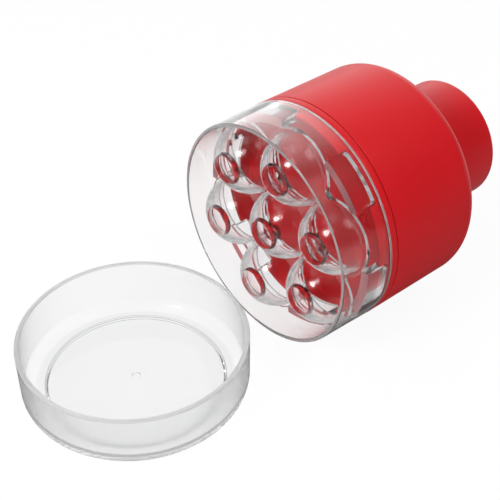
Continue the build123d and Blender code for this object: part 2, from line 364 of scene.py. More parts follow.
@dataclass(frozen=True)
class TurnedSteel:
    """Bare steel with fine lines round or along the bar."""

    name: str
    dark: Colour = (0.42, 0.42, 0.43)
    light: Colour = (0.62, 0.62, 0.63)
    roughness: float = 0.28
    roughness_spread: float = 0.07
    line: float = 900.0
    line_detail: float = 3.0
    line_depth: float = 0.01 * MM
    line_strength: float = 0.3
    stretch: Triple = (6.0, 0.4, 0.4)

    def material(self) -> Material:
        """Build the material.

        Returns:
            A steel material.
        """
        sheet = NodeSheet(self.name)
        line = sheet.noise(self.line, self.line_detail, self.stretch)
        sheet.link(sheet.tint(line, self.dark, self.light), "Base Color")
        sheet.roughen(line, self.roughness, self.roughness_spread)
        sheet.bump(line, self.line_depth, self.line_strength)
        sheet.set(Metallic=1.0)
        return sheet.material


@dataclass(frozen=True)
class TrayFinishes:
    """The tray's finishes: polished all over, dull at the skirt's two ends and on the lugs' fronts,
    red-painted there.
    """

    polished: ClearPlastic = ClearPlastic()
    rim: ClearPlastic = ClearPlastic("dull_rim", roughness=0.35, roughness_spread=0.05, clarity=0.75)
    seam: ClearPlastic = ClearPlastic("frosted_seam", roughness=0.4, roughness_spread=0.05, clarity=0.3)
    # The lugs' fronts are painted red, which stands in for the red collar's light seen through the clear
    # plastic.
    lug: ClearPlastic = ClearPlastic(
        "dull_tab_front_painted_red",
        tint_low=(0.80, 0.30, 0.32),
        tint_high=(0.83, 0.33, 0.35),
        roughness=0.4,
        roughness_spread=0.05,
        clarity=0.6,
    )

    def dull(self) -> tuple[ClearPlastic, ...]:
        """The finishes beside the polished one, in the order of TrayFace."""
        return self.rim, self.seam, self.lug


@dataclass(frozen=True)
class CupFinishes:
    """The pit cup's finishes: clear floor with painted shade at the foot's edges, hazy wall, dull rim
    painted grey.
    """

    # The floor is tinted darker grey than the wall as painted shade, and carries the painted shade circles.
    floor: ClearPlastic = ClearPlastic(
        "clear_cup_floor_painted_shade",
        tint_low=(0.87, 0.872, 0.875),
        tint_high=(0.885, 0.887, 0.89),
        gloss=0.0,
        shade_circles=FOOT_SHADE_RADII,
    )
    wall: ClearPlastic = ClearPlastic(
        "hazy_cup_wall",
        tint_low=(0.935, 0.936, 0.938),
        tint_high=(0.95, 0.951, 0.953),
        roughness=0.2,
        roughness_spread=0.03,
        refraction=1.36,
        gloss=0.15,
    )
    # The rim is tinted dark grey: painted shade along the cup's rim.
    rim: ClearPlastic = ClearPlastic(
        "dull_cup_rim_painted_shade",
        tint_low=(0.66, 0.662, 0.665),
        tint_high=(0.69, 0.692, 0.695),
        roughness=0.35,
        roughness_spread=0.05,
        clarity=0.6,
        gloss=0.0,
    )

    def upper(self) -> tuple[ClearPlastic, ...]:
        """The finishes beside the floor's, in the order of CupFace."""
        return self.wall, self.rim


# Mesh making


def rounded(corners: Sequence[Corner], steps: int = ROUND_STEPS) -> Profile:
    """Round the corners of a closed outline.

    Args:
        corners: (radius, depth, round) of each corner; a round of 0 stays sharp.
        steps: Segments in each rounding.

    Returns:
        The outline's points.
    """
    points: Profile = []
    for index, (x, y, round_radius) in enumerate(corners):
        here = Vector((x, y))
        if round_radius <= 0:
            points.append((x, y))
            continue
        before = Vector(corners[index - 1][:2])
        after = Vector(corners[(index + 1) % len(corners)][:2])
        back = (before - here).normalized()
        ahead = (after - here).normalized()
        half = back.angle(ahead) / 2
        centre = here + (back + ahead).normalized() * (round_radius / math.sin(half))
        first = here + back * (round_radius / math.tan(half)) - centre
        last = here + ahead * (round_radius / math.tan(half)) - centre
        sweep = first.angle_signed(last)
        for step in range(steps + 1):
            spoke = first.copy()
            spoke.rotate(Matrix.Rotation(-sweep * step / steps, 2))
            points.append(tuple(centre + spoke))
    return points


def bridge(mesh: bmesh.types.BMesh, lower: Ring, upper: Ring) -> None:
    """Join two rings of vertices, either of which may be a single point on the axis.

    Args:
        mesh: The mesh that holds the rings.
        lower: The first ring.
        upper: The second ring.
    """
    count = max(len(lower), len(upper))
    if count == 1:
        return
    for i in range(count):
        j = (i + 1) % count
        near = [lower[i % len(lower)], lower[j % len(lower)]]
        far = [upper[j % len(upper)], upper[i % len(upper)]]
        mesh.faces.new(list(dict.fromkeys(near + far)))


def placed(name: str, data: bpy.types.ID) -> Piece:
    """Put an object into the scene.

    Args:
        name: The object's name.
        data: The mesh, the light or the camera that it shows.

    Returns:
        The new object.
    """
    piece = bpy.data.objects.new(name, data)
    bpy.context.scene.collection.objects.link(piece)
    return piece


def stacked(name: str, rings: Sequence[Sequence[Vector]], loop: bool) -> Piece:
    """Skin a stack of rings into a closed form with outward faces.

    Args:
        name: The object's name.
        rings: Rings of equal length, or single points on the axis.
        loop: Whether the last ring joins the first; otherwise both ends are capped.

    Returns:
        The new object.
    """
    mesh = bmesh.new()
    made = [[mesh.verts.new(point) for point in ring] for ring in rings]
    for lower, upper in zip(made, made[1:]):
        bridge(mesh, lower, upper)
    if loop:
        bridge(mesh, made[-1], made[0])
    else:
        for end in (made[0], made[-1]):
            if len(end) > 1:
                mesh.faces.new(end)
    bmesh.ops.recalc_face_normals(mesh, faces=mesh.faces)
    data = bpy.data.meshes.new(name)
    mesh.to_mesh(data)
    mesh.free()
    return placed(name, data)


def lathe(name: str, profile: Profile, segments: int) -> Piece:
    """Spin a closed (radius, depth) outline round the depth axis.

    Args:
        name: The object's name.
        profile: The outline's points in order.
        segments: Faces round the axis.

    Returns:
        The turned object.
    """
    turns = [2 * math.pi * i / segments for i in range(segments)]
    rings = []
    for radius, depth in profile:
        if radius < ON_AXIS:
            rings.append([Vector((0, 0, depth))])
            continue
        rings.append([Vector((radius * math.cos(t), radius * math.sin(t), depth)) for t in turns])
    return stacked(name, rings, loop=True)


def arc(centre: Pair, radius: float, start: float, end: float, steps: int) -> Profile:
    """Points of an arc in the (radius, depth) plane, between two angles in radians."""
    angles = [start + (end - start) * i / steps for i in range(steps + 1)]
    return [(centre[0] + radius * math.cos(a), centre[1] + radius * math.sin(a)) for a in angles]


def heading(angle: float) -> Vector:
    """The direction across the axis at an angle in radians."""
    return Vector((math.cos(angle), math.sin(angle)))


def copies(form: Piece, places: Iterable[Matrix]) -> list[Piece]:
    """Place copies of a form and remove the form itself.

    Args:
        form: The form to repeat.
        places: Where each copy goes.

    Returns:
        The copies.
    """
    made = []
    for place in places:
        data = form.data.copy()
        data.transform(place)
        made.append(placed(form.name, data))
    bpy.data.objects.remove(form)
    return made


def combine(base: Piece, tools: Sequence[Piece], how: Join) -> Piece:
    """Add forms to a base or cut them out of it, and remove the forms.

    Args:
        base: The form that stays.
        tools: The forms that are used up.
        how: Whether they are added or cut away.

    Returns:
        The base with its new mesh.
    """
    for tool in tools:
        step = base.modifiers.new(how.name, "BOOLEAN")
        step.operation = how.value
        step.object = tool
        step.solver = "MANIFOLD"
    graph = bpy.context.evaluated_depsgraph_get()
    data = bpy.data.meshes.new_from_object(base.evaluated_get(graph))
    base.modifiers.clear()
    base.data = data
    for tool in tools:
        bpy.data.objects.remove(tool)
    return base


def dress(piece: Piece, material: Material, body: Body, slot: Slot, *nodes: str) -> None:
    """Shade a new piece smooth between sharp edges, and put it on its body in place of its CAD nodes.

    Args:
        piece: The piece, in the row frame.
        material: Its finish.
        body: The body that it rides on.
        slot: The record's slot; not used.
        nodes: The CAD nodes that it stands for.
    """
    piece.data.materials.clear()
    piece.data.materials.append(material)
    piece.data.shade_smooth()
    piece.data.set_sharp_from_angle(angle=SHARP_ANGLE)
    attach(piece, body.value)
    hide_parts(*nodes)
    log.info("%s rides on %s, %d faces", piece.name, body.value, len(piece.data.polygons))


def coat(node: str, material: Material) -> None:
    """Give a CAD node that keeps its own shape a finish.

    Args:
        node: The CAD node's name.
        material: Its finish.
    """
    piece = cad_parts[node]
    piece.data.materials.clear()
    piece.data.materials.append(material)
    log.info("%s keeps its shape, in %s", node, material.name)


# The barrel's axis, which the tray, the guide and the handle share


@dataclass(frozen=True)
class BarrelAxis:
    """The line through the barrel; depth runs from the tray's front rim to the handle."""

    front: float
    y: float
    z: float
    cup_turn: float = math.radians(41.7)
    outer_cups: int = 6

    @classmethod
    def from_frame(cls) -> "BarrelAxis":
        """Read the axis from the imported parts."""
        low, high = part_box("body_shell")
        return cls(front=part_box("cherry_tray")[0].x, y=(low.y + high.y) / 2, z=(low.z + high.z) / 2)

    def matrix(self) -> Matrix:
        """The step from barrel places (across, up, depth) to the row frame."""
        rows = ((0, 0, 1, self.front), (1, 0, 0, self.y), (0, 1, 0, self.z), (0, 0, 0, 1))
        return Matrix(rows)

    def depth(self, node: str, high: bool = False) -> float:
        """The depth of a CAD node's front end, or of its back end if high."""
        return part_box(node)[int(high)].x - self.front

    def cup_angles(self) -> list[float]:
        """Angles of the outer cups about the axis, in radians."""
        return [self.cup_turn + 2 * math.pi * i / self.outer_cups for i in range(self.outer_cups)]

    def valley_angles(self) -> list[float]:
        """Angles half way between the outer cups, in radians."""
        return [angle + math.pi / self.outer_cups for angle in self.cup_angles()]

    def cup_places(self, pitch: float) -> list[Matrix]:
        """Where the cups' own axes run, the middle one first and the others at a pitch from it."""
        spots = [(0.0, 0.0)] + [(pitch * math.cos(a), pitch * math.sin(a)) for a in self.cup_angles()]
        return [Matrix.Translation((x, y, 0)) for x, y in spots]

    def settle(self, piece: Piece) -> Piece:
        """Move a form made about the depth axis into the row frame."""
        piece.data.transform(self.matrix())
        return piece


def sectors(
    name: str, radii: Pair, depths: Pair, angles: Sequence[float], spread: float, end_round: float
) -> list[Piece]:
    """Blocks that follow a ring, with their far corners rounded.

    Args:
        name: The objects' name.
        radii: Inner and outer radius.
        depths: First and last depth.
        angles: Middle angle of each block, in radians.
        spread: Angle that a block covers, in radians.
        end_round: Rounding of the two corners at the last depth.

    Returns:
        The blocks.
    """
    inner, outer = radii
    low, high = depths
    half = spread / 2
    turn_round = end_round / outer
    straight = spread - 2 * turn_round
    quarter = [math.pi / 2 * i / SECTOR_STEPS for i in range(SECTOR_STEPS + 1)]
    first = [-half + turn_round * (1 - math.cos(a)) for a in quarter]
    between = [-half + turn_round + straight * i / SECTOR_STEPS for i in range(1, SECTOR_STEPS)]
    sections = []
    for stop in first + between + [-stop for stop in reversed(first)]:
        lean = max(0.0, abs(stop) - (half - turn_round)) / turn_round
        top = high - end_round * (1 - math.sqrt(max(0.0, 1 - lean * lean)))
        sections.append((stop, [(inner, low), (outer, low), (outer, top), (inner, top)]))
    blocks = []
    for angle in angles:
        rings = []
        for stop, corners in sections:
            ray = heading(angle + stop).to_3d()
            rings.append([ray * radius + Vector((0, 0, depth)) for radius, depth in corners])
        blocks.append(stacked(name, rings, loop=False))
    return blocks


# Sub-assemblies


@dataclass
class CherryTray:
    """Clear tray: a skirt, seven cups in a scalloped plate, and six lugs that key into the pin guide."""

    axis: BarrelAxis
    finishes: TrayFinishes
    length: float = 23.8 * MM
    front_radius: float = 44.4 * MM
    back_radius: float = 44.9 * MM
    wall: float = 1.5 * MM
    edge_round: float = 0.5 * MM
    rim_frost: float = 0.15 * MM
    seam_frost: float = 0.3 * MM
    pitch: float = 28.1 * MM
    cup_radius: float = 14.2 * MM
    cup_wall: float = 1.5 * MM
    cup_bottom: float = 2.8 * MM
    cup_centre: float = 13.6 * MM
    hole_radius: float = 5.75 * MM
    plate_radius: float = 15.4 * MM
    plate_front: float = 11.4 * MM
    plate_back: float = 13.8 * MM
    plate_round: float = 0.2 * MM
    cusp_round: float = 2.6 * MM
    lug_inner: float = 39.8 * MM
    lug_back: float = 21.8 * MM
    lug_spread: float = math.radians(28)
    lug_round: float = 1.8 * MM
    normal_reach: float = 0.03 * MM
    segments: int = 256
    cup_segments: int = 96
    arc_steps: int = 28
    lobe_steps: int = 32
    cusp_steps: int = 12

    @property
    def bowl_radius(self) -> float:
        """Radius of the inside of a cup."""
        return self.cup_radius - self.cup_wall

    @property
    def bowl_centre(self) -> float:
        """Depth of the centre of the inside of a cup."""
        return self.cup_centre - self.cup_radius + self.cup_bottom + self.bowl_radius

    @property
    def lug_front(self) -> float:
        """Depth of the lugs' front faces, in the middle of the plate."""
        return (self.plate_front + self.plate_back) / 2

    def bore(self, depth: float) -> float:
        """The skirt's inner radius at a depth."""
        return self.front_radius - self.wall + (self.back_radius - self.front_radius) * depth / self.length

    def skirt(self) -> Piece:
        """Make the skirt, a slightly tapered tube.

        Returns:
            The turned form.
        """
        edge = self.edge_round
        seam = self.length - self.seam_frost
        corners = [
            (self.bore(0), 0, edge),
            (self.front_radius, 0, edge),
            (self.bore(seam) + self.wall, seam, 0),
            (self.back_radius, self.length, edge / 2),
            (self.bore(self.length), self.length, edge / 2),
            (self.bore(seam), seam, 0),
        ]
        return lathe("cherry_tray_clear", rounded(corners), self.segments)

    def cup_form(self) -> Piece:
        """Make the outside of one cup, half a ball, about its own axis."""
        ball = arc((0, self.cup_centre), self.cup_radius, -math.pi / 2, 0, self.arc_steps)
        return lathe("cup_form", ball + [(0, self.cup_centre)], self.cup_segments)

    def cup_bore(self) -> Piece:
        """Make the inside of one cup: pit hole and bowl.

        Returns:
            The turned form, about its own axis.
        """
        hole_turn = math.acos(self.hole_radius / self.bowl_radius)
        bowl = arc((0, self.bowl_centre), self.bowl_radius, -hole_turn, 0, self.arc_steps)
        behind = self.bowl_centre + self.cup_wall
        ahead = self.cup_centre - self.cup_radius - self.cup_wall
        start = [(0, ahead), (self.hole_radius, ahead)]
        finish = [(self.bowl_radius, behind), (0, behind)]
        return lathe("cup_bore", start + bowl + finish, self.cup_segments)

    def scallop(self) -> list[tuple[Vector, Vector]]:
        """The outline of the merged cups, with its cusps rounded.

        Returns:
            Points of the outline, each with its outward direction.
        """
        half_step = math.pi / self.axis.outer_cups
        flank = self.pitch * math.cos(half_step)
        half_chord = self.pitch * math.sin(half_step)
        reach = flank + math.sqrt((self.plate_radius + self.cusp_round) ** 2 - half_chord**2)
        outline = []
        for angle in self.axis.cup_angles():
            centre = heading(angle) * self.pitch
            following = heading(angle + 2 * half_step) * self.pitch
            valley = heading(angle + half_step) * reach
            turn = (valley - centre).angle(heading(angle))
            for i in range(self.lobe_steps + 1):
                out = heading(angle - turn + 2 * turn * i / self.lobe_steps)
                outline.append((centre + out * self.plate_radius, out))
            first = (centre - valley).normalized()
            last = (following - valley).normalized()
            for i in range(1, self.cusp_steps):
                out = first.slerp(last, i / self.cusp_steps)
                outline.append((valley + out * self.cusp_round, -out))
        return outline

    def plate(self) -> Piece:
        """Make the scalloped plate that the cups hang from.

        Returns:
            The plate.
        """
        edge = self.plate_round
        quarter = [math.pi / 2 * i / ROUND_STEPS for i in range(ROUND_STEPS + 1)]
        front = [(edge * (math.sin(a) - 1), self.plate_front + edge * (1 - math.cos(a))) for a in quarter]
        back = [(grow, self.plate_front + self.plate_back - depth) for grow, depth in reversed(front)]
        rings = []
        for grow, depth in front + back:
            rings.append([(*(point + out * grow), depth) for point, out in self.scallop()])
        return stacked("plate", rings, loop=False)

    def lugs(self) -> list[Piece]:
        """Make the lugs inside the skirt that key into the guide's collar.

        Returns:
            One lug per valley between the cups.
        """
        radii = (self.lug_inner, self.bore(self.plate_front) + self.wall / 2)
        depths = (self.lug_front, self.lug_back)
        angles = self.axis.valley_angles()
        return sectors("lug", radii, depths, angles, self.lug_spread, self.lug_round)

    def true_normal(self, corners: Sequence[Vector]) -> Optional[Callable[[Vector], Vector]]:
        """Find the round surface that a face belongs to.

        Args:
            corners: The face's corners in the barrel's own axes.

        Returns:
            The surface's normal at a point, or nothing for a face of another surface.
        """
        reach = self.normal_reach
        balls = ((self.cup_radius, self.cup_centre, 1), (self.bowl_radius, self.bowl_centre, -1))
        for place in self.axis.cup_places(self.pitch):
            for radius, depth, side in balls:
                centre = place.translation + Vector((0, 0, depth))
                if all(abs((corner - centre).length - radius) < reach for corner in corners):
                    return lambda point, centre=centre, side=side: (point - centre).normalized() * side
        slope = (self.back_radius - self.front_radius) / self.length
        for offset, side in ((self.wall, 1), (0.0, -1)):
            if all(abs(corner.xy.length - self.bore(corner.z) - offset) < reach for corner in corners):
                return lambda point, side=side: Vector((*point.xy.normalized(), -slope)).normalized() * side
        return None

    def polish(self, tray: Piece) -> None:
        """Shade the cups and the skirt as the true round surfaces that they are.

        Args:
            tray: The finished tray, in the row frame.
        """
        data = tray.data
        back = self.axis.matrix()
        points = [back.inverted() @ vertex.co for vertex in data.vertices]
        normals = [corner.vector.copy() for corner in data.corner_normals]
        for face in data.polygons:
            surface = self.true_normal([points[i] for i in face.vertices])
            if surface:
                for i in face.loop_indices:
                    normals[i] = back.to_3x3() @ surface(points[data.loops[i].vertex_index])
        data.normals_split_custom_set(normals)

    def frost(self, tray: Piece) -> None:
        """Dress the skirt's two ends and the lugs' front faces, which the mould leaves dull.

        Args:
            tray: The finished tray, in the row frame.
        """
        for finish in self.finishes.dull():
            tray.data.materials.append(finish.material())
        inward = self.axis.matrix().inverted()
        depths = [(inward @ vertex.co).z for vertex in tray.data.vertices]
        for face in tray.data.polygons:
            depth = (inward @ face.center).z
            if depth < self.rim_frost:
                face.material_index = TrayFace.RIM
            elif depth > self.length - self.seam_frost:
                face.material_index = TrayFace.SEAM
            elif all(abs(depths[i] - self.lug_front) < self.normal_reach for i in face.vertices):
                # These faces take the lug finish, painted red.
                face.material_index = TrayFace.LUG

    def build(self) -> None:
        """Make the tray, dress it and put it in place of its CAD node."""
        tray = self.skirt()
        places = self.axis.cup_places(self.pitch)
        combine(tray, [self.plate()] + copies(self.cup_form(), places) + self.lugs(), Join.ADD)
        combine(tray, copies(self.cup_bore(), places), Join.CUT)
        self.axis.settle(tray)
        dress(tray, self.finishes.polished.material(), Body.TRAY, Slot.CLEAR, "cherry_tray")
        self.polish(tray)
        self.frost(tray)


@dataclass
class Barrel:
    """Red body shell and the red pin guide in its mouth."""

    axis: BarrelAxis
    finish: SatinRed
    radius: float = 45.0 * MM
    wall: float = 2.2 * MM
    shoulder_round: float = 6.4 * MM
    sleeve_bore: float = 25.28 * MM
    sleeve_radius: float = 27.48 * MM
    sleeve_length: float = 4.6 * MM
    bore_round: float = 0.6 * MM
    seam_round: float = 0.3 * MM
    seam_gap: float = 0.3 * MM
    collar_radius: float = 43.0 * MM
    collar_length: float = 5.0 * MM
    guide_bore: float = 41.0 * MM
    spigot_radius: float = 42.7 * MM
    plate_front: float = 27.6 * MM
    plate_back: float = 30.6 * MM
    guide_round: float = 0.3 * MM
    notch_spread: float = math.radians(29.07)
    notch_back: float = 22.2 * MM
    notch_round: float = 0.8 * MM
    nub_radius: float = 0.9 * MM
    nub_standout: float = 0.25 * MM
    pin_pitch: float = 28.1 * MM
    pin_bore: float = 3.08 * MM
    pin_lip: float = 0.25 * MM
    spring_collar: float = 5.28 * MM
    spring_collar_height: float = 3.0 * MM
    segments: int = 256
    guide_round_steps: int = 4
    nub_steps: int = 16
    nub_segments: int = 24
    pin_hole_segments: int = 48

    def shell(self) -> Piece:
        """Make the body shell with its rounded shoulder and inner sleeve.

        Returns:
            The turned shell.
        """
        front = self.axis.depth("body_shell") + self.seam_gap
        back = self.axis.depth("body_shell", high=True)
        inside = back - self.wall
        bore = self.radius - self.wall
        sleeve_front = inside - self.sleeve_length
        corners = [
            (bore, front, 0),
            (self.radius, front, self.seam_round),
            (self.radius, back, self.shoulder_round),
            (self.sleeve_bore, back, self.bore_round),
            (self.sleeve_bore, sleeve_front, 0),
            (self.sleeve_radius, sleeve_front, 0),
            (self.sleeve_radius, inside, 0),
            (bore, inside, self.shoulder_round - self.wall),
        ]
        return lathe("body_shell_red", rounded(corners, FINE_STEPS), self.segments)

    def guide(self) -> Piece:
        """Make the pin guide: notched collar, flange, spigot and holed plate.

        Returns:
            The guide.
        """
        flange_front = self.axis.depth("cherry_tray", high=True)
        flange_back = self.axis.depth("body_shell")
        spigot_back = self.axis.depth("pin_guide", high=True)
        collar_front = flange_front - self.collar_length
        edge = self.guide_round
        corners = [
            (0, self.plate_front, 0),
            (self.guide_bore, self.plate_front, edge),
            (self.guide_bore, collar_front, edge),
            (self.collar_radius, collar_front, edge),
            (self.collar_radius, flange_front, 0),
            (self.radius, flange_front, edge),
            (self.radius, flange_back, self.seam_round),
            (self.spigot_radius, flange_back, 0),
            (self.spigot_radius, spigot_back, edge),
            (self.guide_bore, spigot_back, edge),
            (self.guide_bore, self.plate_back, edge),
            (self.spring_collar, self.plate_back, 0),
            (self.spring_collar, self.plate_back + self.spring_collar_height, edge),
            (0, self.plate_back + self.spring_collar_height, 0),
        ]
        guide = lathe("pin_guide_red", rounded(corners, self.guide_round_steps), self.segments)
        combine(guide, self.nubs(flange_front - self.collar_length / 2), Join.ADD)
        combine(guide, self.notches(collar_front) + self.pin_holes(), Join.CUT)
        return guide

    def nubs(self, depth: float) -> list[Piece]:
        """Make the small bumps that grip the tray's skirt.

        Args:
            depth: Where they sit along the barrel.

        Returns:
            One bump per castle of the collar.
        """
        ball = arc((0, 0), self.nub_radius, -math.pi / 2, math.pi / 2, self.nub_steps)
        form = lathe("nub", ball, self.nub_segments)
        circle = self.collar_radius + self.nub_standout - self.nub_radius
        spots = [(circle * math.cos(a), circle * math.sin(a), depth) for a in self.axis.cup_angles()]
        return copies(form, [Matrix.Translation(spot) for spot in spots])

    def notches(self, collar_front: float) -> list[Piece]:
        """Make the cuts that take the tray's lugs.

        Args:
            collar_front: Depth of the collar's front face.

        Returns:
            One cutter per lug.
        """
        room = self.wall
        radii = (self.guide_bore - room, self.collar_radius + room)
        depths = (collar_front - room, self.notch_back)
        angles = self.axis.valley_angles()
        return sectors("notch", radii, depths, angles, self.notch_spread, self.notch_round)

    def pin_holes(self) -> list[Piece]:
        """Make the cutters for the seven pins.

        Returns:
            One cutter per pin.
        """
        back = self.plate_back + 2 * self.spring_collar_height
        front = self.plate_front - self.spring_collar_height
        profile = [
            (0, front),
            (self.pin_bore + self.pin_lip, front),
            (self.pin_bore + self.pin_lip, self.plate_front),
            (self.pin_bore, self.plate_front + self.pin_lip),
            (self.pin_bore, back),
            (0, back),
        ]
        hole = lathe("pin_hole", profile, self.pin_hole_segments)
        return copies(hole, self.axis.cup_places(self.pin_pitch))

    def build(self) -> None:
        """Make both pieces, dress them and put them in place of their CAD nodes."""
        red = self.finish.material()
        dress(self.axis.settle(self.shell()), red, Body.BARREL, Slot.RED, "body_shell")
        dress(self.axis.settle(self.guide()), red, Body.BARREL, Slot.RED, "pin_guide")


@dataclass
class Plunger:
    """Push handle with its carrier, pins and return spring, and the screws of carrier and guide."""

    axis: BarrelAxis
    finish: SatinRed
    wire_finish: TurnedSteel = TurnedSteel("drawn_spring_wire", roughness=0.35)
    screw_finish: TurnedSteel = TurnedSteel("zinc_screw", roughness=0.4)
    radius: float = 25.2 * MM
    wall: float = 2.4 * MM
    end_wall: float = 2.8 * MM
    end_round: float = 2.1 * MM
    ceiling_round: float = 1.5 * MM
    post_radius: float = 4.6 * MM
    post_round: float = 0.3 * MM
    seat_radius: float = 8.2 * MM
    seat_round: float = 0.5 * MM
    spring_length: float = 50.0 * MM
    spring_radius: float = 6.4 * MM
    spring_wire: float = 1.3 * MM
    spring_turns: int = 8
    stroke: float = 29.0 * MM
    pin_pitch: float = 28.1 * MM
    pin_radius: float = 3.0 * MM
    pin_round: float = 0.4 * MM
    pin_cross: float = 0.5 * MM
    pin_cross_depth: float = 0.3 * MM
    segments: int = 192
    turn_steps: int = 48
    wire_sides: int = 16
    pin_segments: int = 64

    def handle(self) -> Piece:
        """Make the hollow push handle with its post.

        Returns:
            The turned handle.
        """
        front = self.axis.depth("push_handle")
        rim = self.axis.depth("pin_carrier", high=True)
        back = self.axis.depth("push_handle", high=True)
        ceiling = back - self.end_wall
        seat = self.axis.depth("return_spring") + self.spring_length
        bore = self.radius - self.wall
        corners = [
            (0, front, 0),
            (self.post_radius, front, self.post_round),
            (self.post_radius, seat, 0),
            (self.seat_radius, seat, self.post_round),
            (self.seat_radius, ceiling, self.seat_round),
            (bore, ceiling, self.ceiling_round),
            (bore, rim, 0),
            (self.radius, rim, 0),
            (self.radius, back, self.end_round),
            (0, back, 0),
        ]
        return lathe("push_handle_red", rounded(corners, FINE_STEPS), self.segments)

    def spring(self) -> Piece:
        """Make the coil spring between the guide plate and the handle's seat.

        Returns:
            The spring as one tube.
        """
        start = self.axis.depth("return_spring") + self.spring_wire / 2
        rise = (self.spring_length - self.spring_wire) / self.spring_turns
        lean = rise / (2 * math.pi * self.spring_radius)
        steps = self.turn_steps * self.spring_turns
        around = [2 * math.pi * i / self.wire_sides for i in range(self.wire_sides)]
        rings = []
        for step in range(steps + 1):
            turn = 2 * math.pi * step * self.spring_turns / steps
            out = heading(turn).to_3d()
            centre = out * self.spring_radius + Vector((0, 0, start + rise * turn / (2 * math.pi)))
            side = Vector((-math.sin(turn), math.cos(turn), lean)).normalized().cross(out)
            spokes = [out * math.cos(a) + side * math.sin(a) for a in around]
            rings.append([centre + spoke * self.spring_wire / 2 for spoke in spokes])
        return stacked("return_spring_wire", rings, loop=False)

    def pin(self, name: str, place: Matrix) -> Piece:
        """Make one pin with a shallow cross in its tip.

        Args:
            name: Its CAD node.
            place: Its place across the barrel.

        Returns:
            The pin.
        """
        tip = self.axis.depth(name)
        end = self.axis.depth(name, high=True)
        radius = self.pin_radius
        corners = [(0, tip, 0), (radius, tip, self.pin_round), (radius, end, 0), (0, end, 0)]
        pin = lathe(f"{name}_red", rounded(corners), self.pin_segments)
        reach = 2 * radius
        half = self.pin_cross / 2
        depths = (tip - reach, tip + self.pin_cross_depth)
        bars = []
        for long, wide in ((reach, half), (half, reach)):
            outline = [(-long, -wide), (long, -wide), (long, wide), (-long, wide)]
            rings = [[(*spot, depth) for spot in outline] for depth in depths]
            bars.append(stacked("cross", rings, loop=False))
        combine(pin, bars, Join.CUT)
        pin.data.transform(place)
        return pin

    def build(self) -> None:
        """Make the handle, the spring and the pins, and coat the pieces that keep their CAD shape."""
        red = self.finish.material()
        dress(self.axis.settle(self.handle()), red, Body.PLUNGER, Slot.RED, "push_handle")
        spring = self.axis.settle(self.spring())
        dress(spring, self.wire_finish.material(), Body.BARREL, Slot.SPRING, "return_spring")
        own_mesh(spring)
        coat("pin_carrier", red)
        names = ["centre_pin"] + [f"pit_pin_{i + 1}" for i in range(self.axis.outer_cups)]
        for name, place in zip(names, self.axis.cup_places(self.pin_pitch)):
            dress(self.axis.settle(self.pin(name, place)), red, Body.PLUNGER, Slot.RED, name)
        zinc = self.screw_finish.material()
        for name in ("carrier_screws", "guide_screws"):
            coat(name, zinc)


@dataclass
class PitCup:
    """Clear cup that catches the pits, on a shallow foot."""

    finishes: CupFinishes
    radius: float = 42.75 * MM
    height: float = 23.1 * MM
    wall: float = 1.9 * MM
    floor: float = 1.7 * MM
    draft: float = 0.2 * MM
    outer_round: float = 5.0 * MM
    inner_round: float = 4.5 * MM
    edge_round: float = 0.5 * MM
    foot_radius: float = FOOT_RADIUS
    foot_height: float = 0.6 * MM
    foot_round: float = 0.2 * MM
    gate_radius: float = 2.0 * MM
    gate_depth: float = 0.4 * MM
    gate_edge_round: float = 0.3 * MM
    gate_floor_round: float = 0.2 * MM
    segments: int = 256

    def form(self) -> Piece:
        """Make the cup.

        Returns:
            The turned cup.
        """
        floor_top = self.foot_height + self.floor
        base = self.radius - self.draft
        corners = [
            (0, 0, 0),
            (self.foot_radius, 0, self.foot_round),
            (self.foot_radius + self.foot_height, self.foot_height, self.foot_round),
            (base, self.foot_height, self.outer_round),
            (self.radius, self.height, self.edge_round),
            (self.radius - self.wall, self.height, self.edge_round),
            (base - self.wall, floor_top, self.inner_round),
            (self.gate_radius, floor_top, self.gate_edge_round),
            (self.gate_radius - self.gate_depth, floor_top - self.gate_depth, self.gate_floor_round),
            (0, floor_top - self.gate_depth, 0),
        ]
        return lathe("pit_cup_clear", rounded(corners, FINE_STEPS), self.segments)

    def build(self) -> None:
        """Make the cup, dress it and put it in place of its CAD node."""
        cup = self.form()
        # The floor's finish, with its painted shade, goes on the whole cup first.
        dress(cup, self.finishes.floor.material(), Body.CUP, Slot.CLEAR, "pit_cup")
        for finish in self.finishes.upper():
            cup.data.materials.append(finish.material())
        flat = self.radius - self.wall - self.inner_round
        for face in cup.data.polygons:
            if face.center.z > self.height - self.edge_round:
                # The rim's faces take the finish painted dark grey as shade.
                face.material_index = CupFace.RIM
            elif face.center.xy.length > flat:
                face.material_index = CupFace.WALL


# Studio


@dataclass(frozen=True)
class Softbox:
    """A round studio light aimed at the pitter."""

    name: str
    towards: Triple
    size: float
    power: float
    distance: float = 0.9

    def build(self, aim: Vector) -> None:
        """Hang the light.

        Args:
            aim: The point that it lights.
        """
        data = bpy.data.lights.new(self.name, "AREA")
        data.shape = "DISK"
        data.size = self.size
        data.energy = self.power
        lamp = placed(self.name, data)
        direction = Vector(self.towards).normalized()
        lamp.location = aim + direction * self.distance
        lamp.rotation_euler = direction.to_track_quat("Z", "Y").to_euler()


